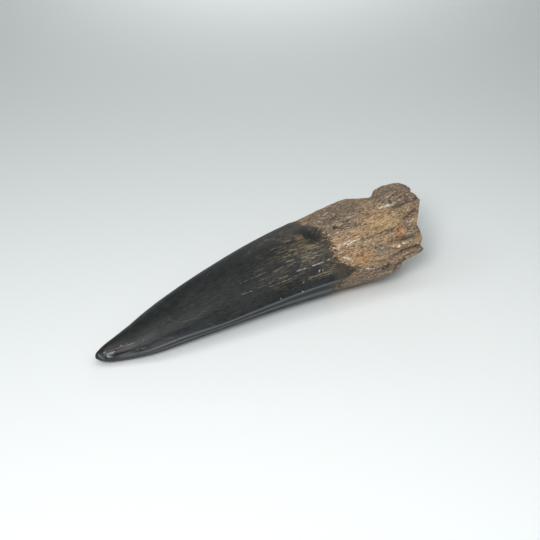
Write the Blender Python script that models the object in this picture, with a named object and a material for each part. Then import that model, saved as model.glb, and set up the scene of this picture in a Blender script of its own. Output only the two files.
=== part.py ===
"""Fossil theropod tooth, lying on one side as a loose tooth does.

One solid: a tapering, slightly recurved crown with two cutting keels, and the stump of its root, which
ends in an oblique break. The model is in metres. +X runs from the tip to the root, +Z is up, and the
origin is on the surface it lies on, under the middle of its bounding box.

A point of the surface is found from two values. "along" is its distance from the tip, measured down
the tooth. "turn" is its angle round the cross-section in degrees: 0 is the far keel at +Y, 90 the top,
180 the near keel at -Y, and 270 the underside.
"""

import math

import bmesh
import bpy
from mathutils import Vector, noise

# Driving sizes, in metres and degrees.
TOOTH_LENGTH = 0.106
CROWN_LENGTH = 0.070
CROWN_HALF_WIDTH = 0.0145
CROWN_TAPER_POWER = 0.517
ROOT_HALF_WIDTH = 0.01714
ROOT_TAPER = 0.02
ROOT_BLEND = 0.0012
TIP_WEAR = 0.107
TIP_WEAR_START = 0.002
TIP_WEAR_END = 0.0165

# Half thickness over half width, at distances from the tip.
FLATTENING = [(0.0, 0.78), (0.040, 0.72), (0.080, 0.70), (0.096, 0.74), (0.106, 0.76)]
# Sideways bow of the middle line, at distances from the tip: the crown curves back towards -Y.
BOW = [
    (0.0, -0.00110),
    (0.006, -0.00085),
    (0.014, -0.00072),
    (0.024, 0.00025),
    (0.040, 0.00166),
    (0.058, 0.00276),
    (0.076, 0.00228),
    (0.092, 0.00094),
    (0.106, -0.00060),
]
# The bowed outline is moved sideways by this much, so that the origin is under its middle.
BOX_MIDDLE_Y = 0.00068

# The underside bulges less than the top, by this much from a little way behind the tip on.
UNDERSIDE_LOSS = 0.00165
UNDERSIDE_LOSS_START = 0.002
UNDERSIDE_LOSS_FULL = 0.0125

# How the tooth lies: the tip is clear of the surface, and the underside of the root is worn flat.
TIP_LIFT = 0.0034
TIP_LIFT_LENGTH = 0.015
# The very tip is rounded off below as well as above.
TIP_ROUNDING = 0.0006
TIP_ROUNDING_LENGTH = 0.002
REST_FLAT_DEPTH = 0.0005
REST_FLAT_START = 0.045
REST_FLAT_FULL = 0.060

# The near cutting edge wanders a little round the tooth. The far one is opposite it.
NEAR_KEEL = [(0.010, 173), (0.022, 174), (0.034, 180.5), (0.045, 180), (0.058, 177.5), (0.072, 177)]
KEEL_HEIGHT = 0.0005
KEEL_SHARPNESS = 6.0
KEEL_FADE_IN = (0.004, 0.018)
KEEL_FADE_OUT = (0.068, 0.078)
FAR_KEEL_SHARE = 0.8

# Distance from the tip at which the enamel ends, at angles round the tooth, and its thickness.
MARGIN = [
    (0, 0.0700),
    (57, 0.0698),
    (77, 0.0696),
    (86, 0.0709),
    (102, 0.0716),
    (116, 0.0721),
    (132, 0.0712),
    (148, 0.0716),
    (159, 0.0732),
    (168, 0.0757),
    (179, 0.0715),
    (190, 0.0695),
    (225, 0.0705),
    (270, 0.0718),
    (315, 0.0706),
    (360, 0.0700),
]
ENAMEL_STEP = 0.0002
ENAMEL_STEP_REACH = (-0.0005, 0.0010)

# Distance from the tip at which the root is broken off, at angles round it.
BREAK = [
    (0, 0.0970),
    (30, 0.1005),
    (52, 0.1050),
    (64, 0.1060),
    (76, 0.1055),
    (86, 0.1044),
    (92, 0.1037),
    (103, 0.1045),
    (112, 0.1028),
    (124, 0.1005),
    (133, 0.0986),
    (140, 0.0984),
    (148, 0.0981),
    (156, 0.0980),
    (164, 0.0971),
    (172, 0.0976),
    (177, 0.0948),
    (182, 0.0913),
    (191, 0.0909),
    (201, 0.0885),
    (212, 0.0862),
    (228, 0.0868),
    (250, 0.0868),
    (275, 0.0892),
    (300, 0.0884),
    (330, 0.0935),
    (360, 0.0970),
]
# The broken face: a rough, slightly dished slope that leans with the rim.
FACE_MIDDLE = 0.0935
FACE_SLOPE_Y = 0.15
FACE_SLOPE_Z = 0.60
FACE_LIP = 0.70
FACE_ROUGHNESS = 0.0014
FACE_LUMP = 0.0060
FACE_LUMP_OCTAVES = 3
RIM_WEAR = 0.0005
RIM_WEAR_LENGTH = 0.0010

# Lengthwise ridges of the bone, like coarse wood grain. They rise to full height past the margin.
ROOT_RELIEF = 0.00045
ROOT_RELIEF_REACH = (-0.001, 0.008)
ROOT_RIDGE_LENGTH = 0.013
ROOT_RIDGE_SPACING = 0.0038
RIDGE_ROUGHNESS = 0.9
RIDGE_OCTAVES = 3
RELIEF_RADIUS = 0.012

# Where the outer layer has flaked away: middle along, middle turn, half length, half turn, the share
# of that size that is at full depth, and the depth.
FLAKES = [
    (0.0950, 40, 0.0078, 48, 0.30, 0.0025),
    (0.0800, 318, 0.0065, 22, 0.45, 0.0009),
    (0.0805, 101, 0.0050, 13, 0.45, 0.0004),
    (0.0950, 137, 0.0048, 10, 0.45, 0.0005),
]
# Cracks and grooves: start along, start turn, end along, end turn, half width, depth.
GROOVES = [
    (0.0945, 107, 0.1055, 101, 0.0009, 0.0009),
    (0.0885, 148, 0.0970, 151, 0.0007, 0.0008),
    (0.0905, 166, 0.0975, 165, 0.0008, 0.0012),
    (0.0955, 127, 0.1015, 118, 0.0008, 0.0009),
    (0.0757, 102, 0.0815, 99, 0.0006, 0.0005),
    (0.0790, 290, 0.0890, 296, 0.0009, 0.0009),
    (0.0770, 350, 0.0880, 342, 0.0008, 0.0008),
    (0.0750, 225, 0.0850, 218, 0.0007, 0.0006),
    (0.0040, 155, 0.0080, 157, 0.0007, 0.0003),
]
GROOVE_SPREAD = 1.6
GROOVE_FADE_IN = (-0.15, 0.1)
GROOVE_FADE_OUT = (0.9, 1.15)
# Lumps that stand up from the root, given like the flakes, with a height.
LUMPS = [
    (0.0912, 155, 0.0030, 7, 0.45, 0.0005),
    (0.0960, 172, 0.0030, 6, 0.45, 0.0004),
    (0.0860, 205, 0.0060, 22, 0.45, 0.0003),
    (0.0810, 250, 0.0070, 18, 0.45, 0.0004),
]

# Mesh density. The rings run from the tip to the break and then in over the broken face.
COLUMNS = 64
CROWN_RINGS = 32
ROOT_RINGS = 30
FACE_RINGS = 12
ROOT_RINGS_START = 0.066
RING_GROWTH = 1.6
SHARP_ANGLE = 50.0

ENAMEL_COLOUR = (0.025, 0.027, 0.028, 1.0)
ENAMEL_ROUGHNESS = 0.25
ROOT_COLOUR = (0.29, 0.205, 0.13, 1.0)
ROOT_ROUGHNESS = 0.8


def smooth_through(stations, x):
    """A smooth curve through (x, value) pairs, read at x."""
    x = min(max(x, stations[0][0]), stations[-1][0])
    i = 0
    while i < len(stations) - 2 and x > stations[i + 1][0]:
        i += 1
    slopes = []
    for k in (i, i + 1):
        before = stations[max(k - 1, 0)]
        after = stations[min(k + 1, len(stations) - 1)]
        slopes.append((after[1] - before[1]) / (after[0] - before[0]))
    (x0, y0), (x1, y1) = stations[i], stations[i + 1]
    span = x1 - x0
    t = (x - x0) / span
    return (
        (2 * t**3 - 3 * t**2 + 1) * y0
        + (t**3 - 2 * t**2 + t) * span * slopes[0]
        + (3 * t**2 - 2 * t**3) * y1
        + (t**3 - t**2) * span * slopes[1]
    )


def smooth_step(start, end, x):
    t = min(max((x - start) / (end - start), 0.0), 1.0)
    return t * t * (3 - 2 * t)


def smooth_min(a, b, blend):
    h = min(max(0.5 + 0.5 * (b - a) / blend, 0.0), 1.0)
    return b * (1 - h) + a * h - blend * h * (1 - h)


def turn_between(a, b):
    """The signed angle in degrees from b to a, the short way round."""
    return (a - b + 180.0) % 360.0 - 180.0


def half_width(along):
    """The crown's outline is close to a parabola, slimmer at its worn tip. The root is nearly straight."""
    crown = CROWN_HALF_WIDTH * (max(along, 0.0) / CROWN_LENGTH) ** CROWN_TAPER_POWER
    root = ROOT_HALF_WIDTH - ROOT_TAPER * (along - CROWN_LENGTH)
    wear = TIP_WEAR * (1 - smooth_step(TIP_WEAR_START, TIP_WEAR_END, along))
    return smooth_min(crown, root, ROOT_BLEND) * (1 - wear)


def upper_thickness(along):
    return half_width(along) * smooth_through(FLATTENING, along)


def lower_thickness(along):
    loss = UNDERSIDE_LOSS * smooth_step(UNDERSIDE_LOSS_START, UNDERSIDE_LOSS_FULL, along)
    worn = REST_FLAT_DEPTH * smooth_step(REST_FLAT_START, REST_FLAT_FULL, along)
    return upper_thickness(along) - loss + worn


def tip_lift(along):
    """How far the middle line rises towards the tip."""
    rise = TIP_LIFT * (1 - min(along / TIP_LIFT_LENGTH, 1.0)) ** 2
    return rise + TIP_ROUNDING * (1 - min(along / TIP_ROUNDING_LENGTH, 1.0)) ** 2


def bump_at(along, turn, oval):
    """1 in the middle of an oval patch, falling smoothly to 0 at its edge."""
    middle_along, middle_turn, half_length, half_turn, full_share, _ = oval
    u = (along - middle_along) / half_length
    v = turn_between(turn, middle_turn) / half_turn
    return 1.0 - smooth_step(full_share, 1.0, math.hypot(u, v))


def groove_at(along, turn, groove):
    """1 on the line of a groove, falling to 0 at its sides and its two ends."""
    along0, turn0, along1, turn1, half, _ = groove
    arc = math.radians(1.0) * RELIEF_RADIUS
    dx, dy = along1 - along0, (turn1 - turn0) * arc
    px, py = along - along0, turn_between(turn, turn0) * arc
    length = math.hypot(dx, dy)
    t = (px * dx + py * dy) / length**2
    side = abs(px * dy - py * dx) / length
    ends = smooth_step(*GROOVE_FADE_IN, t) * (1 - smooth_step(*GROOVE_FADE_OUT, t))
    return ends * (1 - smooth_step(0.0, half * GROOVE_SPREAD, side))


def straightened(along, turn):
    """The place of a surface point once the tooth is unbent into an even cylinder."""
    angle = math.radians(turn)
    return Vector((along, RELIEF_RADIUS * math.cos(angle), RELIEF_RADIUS * math.sin(angle)))


def root_ridges(along, turn):
    p = straightened(along, turn)
    p = Vector((p.x / ROOT_RIDGE_LENGTH, p.y / ROOT_RIDGE_SPACING, p.z / ROOT_RIDGE_SPACING))
    return noise.fractal(p, RIDGE_ROUGHNESS, 2.0, RIDGE_OCTAVES)


def keels(along, turn):
    """The two cutting edges of the crown, which fade out at the worn tip and on the root."""
    fade = smooth_step(*KEEL_FADE_IN, along) * (1 - smooth_step(*KEEL_FADE_OUT, along))
    keel_turn = smooth_through(NEAR_KEEL, along)
    near = math.exp(-abs(turn_between(turn, keel_turn)) / KEEL_SHARPNESS)
    far = math.exp(-abs(turn_between(turn, keel_turn + 180)) / KEEL_SHARPNESS)
    return KEEL_HEIGHT * fade * (near + far * FAR_KEEL_SHARE)


def relief(along, turn):
    """How far the real surface stands out from the smooth tooth, in metres."""
    past_margin = along - smooth_through(MARGIN, turn)
    height = keels(along, turn) - ENAMEL_STEP * smooth_step(*ENAMEL_STEP_REACH, past_margin)
    height += ROOT_RELIEF * smooth_step(*ROOT_RELIEF_REACH, past_margin) * root_ridges(along, turn)
    for flake in FLAKES:
        height -= flake[-1] * bump_at(along, turn, flake)
    for groove in GROOVES:
        height -= groove[-1] * groove_at(along, turn, groove)
    for lump in LUMPS:
        height += lump[-1] * bump_at(along, turn, lump)
    to_rim = smooth_through(BREAK, turn) - along
    return height - RIM_WEAR * (1 - smooth_step(0.0, RIM_WEAR_LENGTH, to_rim))


def middle_of_section(along):
    height = tip_lift(along) + upper_thickness(along) - UNDERSIDE_LOSS
    return Vector((along, smooth_through(BOW, along), height))


def side_point(along, turn):
    """A point of the outer surface, from the tip to the break."""
    across = math.cos(math.radians(turn))
    upward = math.sin(math.radians(turn))
    wide = half_width(along)
    thick = upper_thickness(along) if upward > 0 else lower_thickness(along)
    outward = Vector((0.0, thick * across, wide * upward))
    if outward.length > 0.0:
        outward.normalize()
    point = middle_of_section(along) + Vector((0.0, wide * across, thick * upward))
    return point + outward * relief(along, turn)


def face_point(share, turn):
    """A point of the broken face: share is 1 at the rim and 0 in the middle."""
    rim = side_point(smooth_through(BREAK, turn), turn)
    core = middle_of_section(FACE_MIDDLE)
    point = core.lerp(rim, share)
    point.x = FACE_MIDDLE + FACE_SLOPE_Y * (point.y - core.y) + FACE_SLOPE_Z * (point.z - core.z)
    point.x += FACE_ROUGHNESS * noise.fractal(point / FACE_LUMP, 0.8, 2.1, FACE_LUMP_OCTAVES)
    lip = smooth_step(FACE_LIP, 1.0, share)
    point.x += (rim.x - point.x) * lip
    return point


def tooth_point(ring, turn):
    """The surface point of a ring, counted from the tip, over the side and then the broken face."""
    if ring <= CROWN_RINGS:
        along = ROOT_RINGS_START * (ring / CROWN_RINGS) ** RING_GROWTH
    else:
        share = min((ring - CROWN_RINGS) / ROOT_RINGS, 1.0)
        along = ROOT_RINGS_START + (smooth_through(BREAK, turn) - ROOT_RINGS_START) * share
    if ring <= CROWN_RINGS + ROOT_RINGS:
        point = side_point(along, turn)
    else:
        point = face_point(1 - (ring - CROWN_RINGS - ROOT_RINGS) / FACE_RINGS, turn)
    return Vector((point.x - TOOTH_LENGTH / 2, point.y - BOX_MIDDLE_Y, max(point.z, 0.0)))


def make_material(name, colour, roughness):
    material = bpy.data.materials.new(name)
    material.use_nodes = True
    material.diffuse_color = colour
    shader = material.node_tree.nodes["Principled BSDF"]
    shader.inputs["Base Color"].default_value = colour
    shader.inputs["Roughness"].default_value = roughness
    shader.inputs["Metallic"].default_value = 0.0
    return material


def face_material(face):
    """0 for the enamel and 1 for the root."""
    middle = face.calc_center_median()
    along = middle.x + TOOTH_LENGTH / 2
    centre = middle_of_section(along)
    rise = middle.z - centre.z
    reach = middle.y + BOX_MIDDLE_Y - centre.y
    thick = upper_thickness(along) if rise > 0 else lower_thickness(along)
    turn = math.degrees(math.atan2(rise * half_width(along), reach * thick)) % 360.0
    return int(along > smooth_through(MARGIN, turn))


def make_tooth():
    """A sphere whose poles are the tip and the middle of the broken face, drawn out to the tooth."""
    rings = CROWN_RINGS + ROOT_RINGS + FACE_RINGS
    mesh = bpy.data.meshes.new("tooth")
    bm = bmesh.new()
    bmesh.ops.create_uvsphere(bm, u_segments=COLUMNS, v_segments=rings, radius=1.0)
    for vertex in bm.verts:
        height = min(max(vertex.co.z, -1.0), 1.0)
        ring = round(math.acos(-height) / math.pi * rings)
        turn = math.degrees(math.atan2(vertex.co.y, vertex.co.x)) % 360.0
        vertex.co = tooth_point(ring, turn)
    bmesh.ops.recalc_face_normals(bm, faces=bm.faces)
    for face in bm.faces:
        face.material_index = face_material(face)
    bm.to_mesh(mesh)
    bm.free()
    mesh.shade_smooth()
    mesh.set_sharp_from_angle(angle=math.radians(SHARP_ANGLE))
    mesh.materials.append(make_material("black_enamel", ENAMEL_COLOUR, ENAMEL_ROUGHNESS))
    mesh.materials.append(make_material("brown_root", ROOT_COLOUR, ROOT_ROUGHNESS))
    return bpy.data.objects.new("tooth", mesh)


def main():
    for old in list(bpy.data.objects):
        bpy.data.objects.remove(old)
    collection = bpy.data.collections.new("fossil_dinosaur_tooth")
    bpy.context.scene.collection.children.link(collection)
    collection.objects.link(make_tooth())


main()
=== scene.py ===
import math

import bmesh
import bpy
import numpy as np
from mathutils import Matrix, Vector, noise


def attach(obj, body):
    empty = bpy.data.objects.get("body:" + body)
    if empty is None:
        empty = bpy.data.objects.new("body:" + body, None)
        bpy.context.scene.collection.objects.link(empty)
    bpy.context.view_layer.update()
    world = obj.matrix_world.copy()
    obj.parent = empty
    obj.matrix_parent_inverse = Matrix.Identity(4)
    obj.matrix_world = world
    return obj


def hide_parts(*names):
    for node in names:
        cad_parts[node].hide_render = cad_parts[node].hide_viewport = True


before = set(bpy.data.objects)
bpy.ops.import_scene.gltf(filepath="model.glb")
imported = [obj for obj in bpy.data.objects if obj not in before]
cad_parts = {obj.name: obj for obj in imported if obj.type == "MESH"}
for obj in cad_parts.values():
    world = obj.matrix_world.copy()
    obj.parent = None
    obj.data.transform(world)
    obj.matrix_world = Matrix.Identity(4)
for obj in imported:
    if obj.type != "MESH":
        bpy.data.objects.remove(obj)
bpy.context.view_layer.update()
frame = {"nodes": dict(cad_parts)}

# Fossil theropod tooth: a smooth black enamel crown and a rough brown root, lying on its side.
# A place on the tooth is given by "along", its distance in mm from the tip, and by "turn", its angle in
# degrees round the tooth: 0 is the far edge (+Y), 90 the top, 180 the near edge (-Y), 270 the underside.

print("frame loaded:", ", ".join(frame["nodes"]))

mm = 0.001


def smoothThrough(stations, x):
    # a smooth curve through (x, value) pairs
    xs, ys = np.array(stations, float).T
    slopes = np.empty_like(ys)
    slopes[1:-1] = (ys[2:] - ys[:-2]) / (xs[2:] - xs[:-2])
    slopes[0] = (ys[1] - ys[0]) / (xs[1] - xs[0])
    slopes[-1] = (ys[-1] - ys[-2]) / (xs[-1] - xs[-2])
    x = np.clip(x, xs[0], xs[-1])
    i = np.clip(np.searchsorted(xs, x, side="right") - 1, 0, len(xs) - 2)
    span = xs[i + 1] - xs[i]
    t = (x - xs[i]) / span
    rise = (3 * t**2 - 2 * t**3) * ys[i + 1] + (2 * t**3 - 3 * t**2 + 1) * ys[i]
    return rise + ((t**3 - 2 * t**2 + t) * slopes[i] + (t**3 - t**2) * slopes[i + 1]) * span


def smoothStep(start, end, x):
    t = np.clip((x - start) / (end - start), 0.0, 1.0)
    return t * t * (3 - 2 * t)


def smoothMin(a, b, blend):
    h = np.clip(0.5 + 0.5 * (b - a) / blend, 0.0, 1.0)
    return b * (1 - h) + a * h - blend * h * (1 - h)


def turnBetween(a, b):
    return (a - b + 180.0) % 360.0 - 180.0


def fractal(points, octaves, seed=0):
    shift = Vector((17.3, 5.1, 9.7)) * seed
    return np.array([noise.fractal(Vector(p) + shift, 0.9, 2.0, octaves) for p in points])


# the shape of the tooth, in mm and degrees
toothShape = {
    "length": 106.0,
    "crownLength": 70.0,
    "crownHalfWidth": 14.5,
    "crownTaperPower": 0.517,
    "rootHalfWidth": 17.14,
    "rootTaper": 0.02,
    "rootBlend": 1.2,
    "tipWear": 0.107,
    "tipWearReach": (2.0, 16.5),
    # half thickness over half width, from the tip on
    "flattening": [(0, 0.78), (40, 0.72), (80, 0.70), (96, 0.74), (106, 0.76)],
    # sideways bow of the middle line, from the tip on
    "bow": [
        (0, -1.1),
        (6, -0.85),
        (14, -0.72),
        (24, 0.25),
        (40, 1.66),
        (58, 2.76),
        (76, 2.28),
        (92, 0.94),
        (106, -0.6),
    ],
    "boxMiddleY": 0.68,
    # the underside bulges less than the top
    "undersideLoss": 1.65,
    "undersideLossReach": (2.0, 12.5),
    "tipLift": 3.4,
    "tipLiftLength": 15.0,
    "tipRounding": 0.6,
    "tipRoundingLength": 2.0,
    "restFlatDepth": 0.5,
    "restFlatReach": (45.0, 60.0),
    "nearKeel": [(10, 173), (22, 174), (34, 180.5), (45, 180), (58, 177.5), (72, 177)],
    "keelHeight": 0.5,
    "keelSharpness": 6.0,
    "keelFadeIn": (4.0, 18.0),
    "keelFadeOut": (68.0, 78.0),
    "farKeelShare": 0.8,
    "keelCrest": {"height": 0.15, "halfWidth": 0.20, "hollow": 0.10, "hollowWidth": 1.1},
    # a second, blunter edge that runs below the near keel, with a painted highlight line along it
    "underEdge": {"below": 18.5, "halfTurn": 3.2, "height": 0.05, "share": 0.85},
    "enamelStep": 0.2,
    "enamelStepReach": (-0.5, 1.0),
    # where the enamel ends, round the tooth
    "margin": [
        (0, 70.0),
        (57, 69.8),
        (77, 69.6),
        (86, 70.9),
        (102, 71.6),
        (116, 72.1),
        (132, 71.2),
        (148, 71.6),
        (159, 73.2),
        (168, 75.7),
        (179, 71.5),
        (190, 69.5),
        (225, 70.5),
        (270, 71.8),
        (315, 70.6),
        (360, 70.0),
    ],
    # where the root is broken off, round the tooth
    "rim": [
        (0, 97.0),
        (30, 100.5),
        (52, 105.0),
        (64, 106.0),
        (76, 105.5),
        (86, 104.4),
        (92, 103.7),
        (103, 104.5),
        (112, 102.8),
        (124, 100.5),
        (133, 98.6),
        (140, 98.4),
        (148, 98.1),
        (156, 98.0),
        (164, 97.1),
        (172, 97.6),
        (177, 94.8),
        (182, 91.3),
        (191, 90.9),
        (201, 88.5),
        (212, 86.2),
        (228, 86.8),
        (250, 86.8),
        (275, 89.2),
        (300, 88.4),
        (330, 93.5),
        (360, 97.0),
    ],
    "rimRadius": 15.0,
    "rimJag": {"height": 0.30, "spacing": 1.6, "octaves": 3, "seed": 5},
    "rimWear": 0.35,
    "rimWearLength": 0.7,
    # the broken face leans with the rim and is a little dished
    "faceMiddle": 93.5,
    "faceSlopeY": 0.15,
    "faceSlopeZ": 0.60,
    "faceLip": 0.70,
    "faceLumps": {"height": 1.4, "spacing": 6.0, "octaves": 3, "roughness": 0.8, "gap": 2.1},
    "faceGrit": {"height": 0.25, "spacing": 1.3, "octaves": 3, "seed": 7},
    # the relief is drawn on the tooth straightened into an even cylinder of this radius
    "reliefRadius": 12.0,
    "ridges": {"height": 0.26, "length": 11.0, "spacing": 3.2, "octaves": 3, "seed": 0},
    "fibres": {"height": 0.10, "length": 4.0, "spacing": 0.9, "octaves": 3, "seed": 1},
    "fineFibres": {"height": 0.08, "length": 1.2, "spacing": 0.5, "octaves": 2, "seed": 2},
    "unevenness": {"height": 0.12, "length": 4.5, "spacing": 3.0, "octaves": 2, "seed": 3},
    "enamelRipple": {"height": 0.035, "length": 16.0, "spacing": 2.4, "octaves": 2, "seed": 4},
    # how far past the enamel's end the ridges and the fibres reach full height
    "ridgeReach": (-1.0, 8.0),
    "fibreReach": (-0.3, 1.5),
    # middle along, middle turn, half length, half turn, share at full depth, depth
    "flakes": [
        (95.0, 40, 7.8, 48, 0.30, 2.5),
        (80.0, 318, 6.5, 22, 0.55, 0.9),
        (80.5, 101, 5.0, 13, 0.55, 0.4),
        (95.0, 137, 4.8, 10, 0.55, 0.5),
    ],
    # start along, start turn, end along, end turn, half width, depth
    "grooves": [
        (94.5, 107, 105.5, 101, 0.9, 0.9),
        (88.5, 148, 97.0, 151, 0.7, 0.8),
        (90.5, 165, 96.0, 164, 0.6, 0.8),
        (95.5, 127, 101.5, 118, 0.8, 0.9),
        (75.7, 102, 81.5, 99, 0.6, 0.5),
        (79.0, 290, 89.0, 296, 0.9, 0.9),
        (77.0, 350, 88.0, 342, 0.8, 0.8),
        (75.0, 225, 85.0, 218, 0.7, 0.6),
        (4.0, 155, 8.0, 157, 0.7, 0.3),
    ],
    # given like the flakes, with a height
    "lumps": [
        (91.2, 155, 3.0, 7, 0.3, 0.5),
        (96.0, 172, 3.0, 6, 0.3, 0.4),
        (86.0, 205, 6.0, 22, 0.3, 0.3),
        (81.0, 250, 7.0, 18, 0.3, 0.4),
    ],
    # hair cracks, given like the grooves
    "cracks": [
        (80.5, 131.0, 91.0, 135.0, 0.28, 0.30),
        (75.5, 102.5, 78.5, 101.0, 0.45, 0.45),
        (82.0, 117.0, 85.0, 119.0, 0.25, 0.25),
        (89.8, 131.0, 90.8, 138.0, 0.35, 0.35),
        (91.0, 93.0, 103.0, 88.0, 0.28, 0.35),
        (92.0, 82.0, 103.5, 78.0, 0.25, 0.30),
        (94.0, 98.0, 104.0, 95.5, 0.25, 0.30),
        (84.0, 96.0, 91.0, 94.0, 0.25, 0.25),
        (77.0, 88.0, 84.0, 86.5, 0.25, 0.25),
        (88.0, 112.0, 95.0, 111.0, 0.22, 0.22),
        (84.5, 125.0, 90.0, 124.0, 0.20, 0.20),
        (82.5, 168.0, 90.0, 171.0, 0.25, 0.25),
        (86.0, 161.0, 92.5, 160.0, 0.25, 0.25),
        (75.0, 118.0, 79.0, 117.5, 0.20, 0.18),
        (80.0, 60.0, 88.0, 62.0, 0.25, 0.30),
        (76.0, 20.0, 90.0, 14.0, 0.30, 0.35),
        (80.0, 0.0, 93.0, 357.0, 0.30, 0.35),
        (76.0, 330.0, 88.0, 326.0, 0.28, 0.30),
        (78.0, 268.0, 86.0, 272.0, 0.28, 0.30),
        (77.0, 240.0, 84.0, 238.0, 0.28, 0.28),
        (79.0, 205.0, 86.5, 208.0, 0.28, 0.28),
        (83.0, 190.0, 88.0, 192.0, 0.28, 0.28),
    ],
    "lineFadeIn": (-0.15, 0.1),
    "lineFadeOut": (0.9, 1.15),
    "lineSpread": 1.6,
    # how far the flakes, grooves and cracks stray from their even outlines
    "wander": {"length": 3.0, "spacing": 2.0, "octaves": 2, "seed": 6},
    "strayAlong": 1.1,
    "strayTurn": 3.3,
    "grooveStrayTurn": 1.2,
    "crackStrayTurn": 1.6,
    # the mesh: rings from the tip to the rim and in over the broken face
    "columns": 360,
    "crownRings": 78,
    "rootRings": 146,
    "faceRings": 40,
    "rootRingsStart": 66.0,
    "ringGrowth": 1.8,
}


def halfWidth(along):
    shape = toothShape
    reach = np.maximum(along, 0) / shape["crownLength"]
    crown = shape["crownHalfWidth"] * reach ** shape["crownTaperPower"]
    root = shape["rootHalfWidth"] - shape["rootTaper"] * (along - shape["crownLength"])
    wear = shape["tipWear"] * (1 - smoothStep(*shape["tipWearReach"], along))
    return smoothMin(crown, root, shape["rootBlend"]) * (1 - wear)


def upperThickness(along):
    return halfWidth(along) * smoothThrough(toothShape["flattening"], along)


def lowerThickness(along):
    shape = toothShape
    loss = shape["undersideLoss"] * smoothStep(*shape["undersideLossReach"], along)
    worn = shape["restFlatDepth"] * smoothStep(*shape["restFlatReach"], along)
    return upperThickness(along) - loss + worn


def unroll(along, turn):
    # the place of a surface point once the tooth is straightened into an even cylinder
    angle = np.radians(turn)
    radius = toothShape["reliefRadius"]
    return np.stack([along, radius * np.cos(angle), radius * np.sin(angle)], axis=-1)


def drawnOut(places, layer):
    # noise drawn out along the tooth
    size = np.array([layer["length"], layer["spacing"], layer["spacing"]])
    return fractal(places / size, layer["octaves"], layer["seed"])


def ovalAt(along, turn, oval):
    middleAlong, middleTurn, halfLength, halfTurn, fullShare, _ = oval
    u = (along - middleAlong) / halfLength
    v = turnBetween(turn, middleTurn) / halfTurn
    return 1.0 - smoothStep(fullShare, 1.0, np.hypot(u, v))


def lineAt(along, turn, line):
    shape = toothShape
    along0, turn0, along1, turn1, half, _ = line
    arc = math.radians(1.0) * shape["reliefRadius"]
    dx, dy = along1 - along0, turnBetween(turn1, turn0) * arc
    px, py = along - along0, turnBetween(turn, turn0) * arc
    length = math.hypot(dx, dy)
    t = (px * dx + py * dy) / length**2
    side = np.abs(px * dy - py * dx) / length
    ends = smoothStep(*shape["lineFadeIn"], t) * (1 - smoothStep(*shape["lineFadeOut"], t))
    return ends * (1 - smoothStep(0.0, half * shape["lineSpread"], side))


def keels(along, turn):
    # the cutting edges, with a mask of the lines where the material paints a highlight
    shape = toothShape
    fade = smoothStep(*shape["keelFadeIn"], along) * (1 - smoothStep(*shape["keelFadeOut"], along))
    keelTurn = smoothThrough(shape["nearKeel"], along)
    crest = shape["keelCrest"]
    millimetresPerDegree = np.radians(1.0) * upperThickness(along)
    height = np.zeros_like(along)
    line = np.zeros_like(along)
    for middle, share in ((keelTurn, 1.0), (keelTurn + 180, shape["farKeelShare"])):
        away = np.abs(turnBetween(turn, middle))
        gap = away * millimetresPerDegree
        sharp = np.exp(-((gap / crest["halfWidth"]) ** 2))
        hollow = np.exp(-(((gap - crest["hollowWidth"]) / (0.5 * crest["hollowWidth"])) ** 2))
        ridge = shape["keelHeight"] * np.exp(-away / shape["keelSharpness"])
        height += share * fade * (ridge + crest["height"] * sharp - crest["hollow"] * hollow)
        line = np.maximum(line, share * fade * sharp)
    edge = shape["underEdge"]
    below = np.exp(-((turnBetween(turn, keelTurn + edge["below"]) / edge["halfTurn"]) ** 2)) * fade
    return height + edge["height"] * below, np.maximum(line, edge["share"] * below)


def rimAt(turn):
    angle = np.radians(turn)
    jag = toothShape["rimJag"]
    ring = np.stack([0 * angle, np.cos(angle), np.sin(angle)], axis=-1) * toothShape["rimRadius"]
    offset = jag["height"] * fractal(ring / jag["spacing"], jag["octaves"], jag["seed"])
    return smoothThrough(toothShape["rim"], turn) + offset


def relief(along, turn, rim):
    # how far the surface stands out from the smooth tooth, with masks that the material reads
    shape = toothShape
    places = unroll(along, turn)
    pastMargin = along - smoothThrough(shape["margin"], turn)
    onRoot = smoothStep(*shape["ridgeReach"], pastMargin)
    bare = smoothStep(*shape["fibreReach"], pastMargin)
    fibre = drawnOut(places, shape["fibres"])
    fine = drawnOut(places, shape["fineFibres"])
    height, crest = keels(along, turn)
    height -= shape["enamelStep"] * smoothStep(*shape["enamelStepReach"], pastMargin)
    height += shape["ridges"]["height"] * onRoot * drawnOut(places, shape["ridges"])
    height += bare * (shape["fibres"]["height"] * fibre + shape["fineFibres"]["height"] * fine)
    height += bare * shape["unevenness"]["height"] * drawnOut(places, shape["unevenness"])
    height += (1 - bare) * shape["enamelRipple"]["height"] * drawnOut(places, shape["enamelRipple"])
    wander = drawnOut(places, shape["wander"])
    strayedAlong = along + wander * shape["strayAlong"]
    strayedTurn = turn + wander * shape["strayTurn"]
    for flake in shape["flakes"]:
        height -= flake[-1] * ovalAt(strayedAlong, strayedTurn, flake)
    crack = np.zeros_like(along)
    for line in shape["grooves"]:
        depth = lineAt((along + strayedAlong) / 2, turn + wander * shape["grooveStrayTurn"], line)
        height -= line[-1] * depth
        crack = np.maximum(crack, depth * 0.9)
    for line in shape["cracks"]:
        depth = lineAt(along, turn + wander * shape["crackStrayTurn"], line)
        height -= line[-1] * depth
        crack = np.maximum(crack, depth)
    for lump in shape["lumps"]:
        height += lump[-1] * ovalAt(strayedAlong, strayedTurn, lump)
    height -= shape["rimWear"] * (1 - smoothStep(0, shape["rimWearLength"], rim - along))
    return height, {"pastMargin": pastMargin, "crack": crack, "fibre": fibre, "crest": crest}


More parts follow.
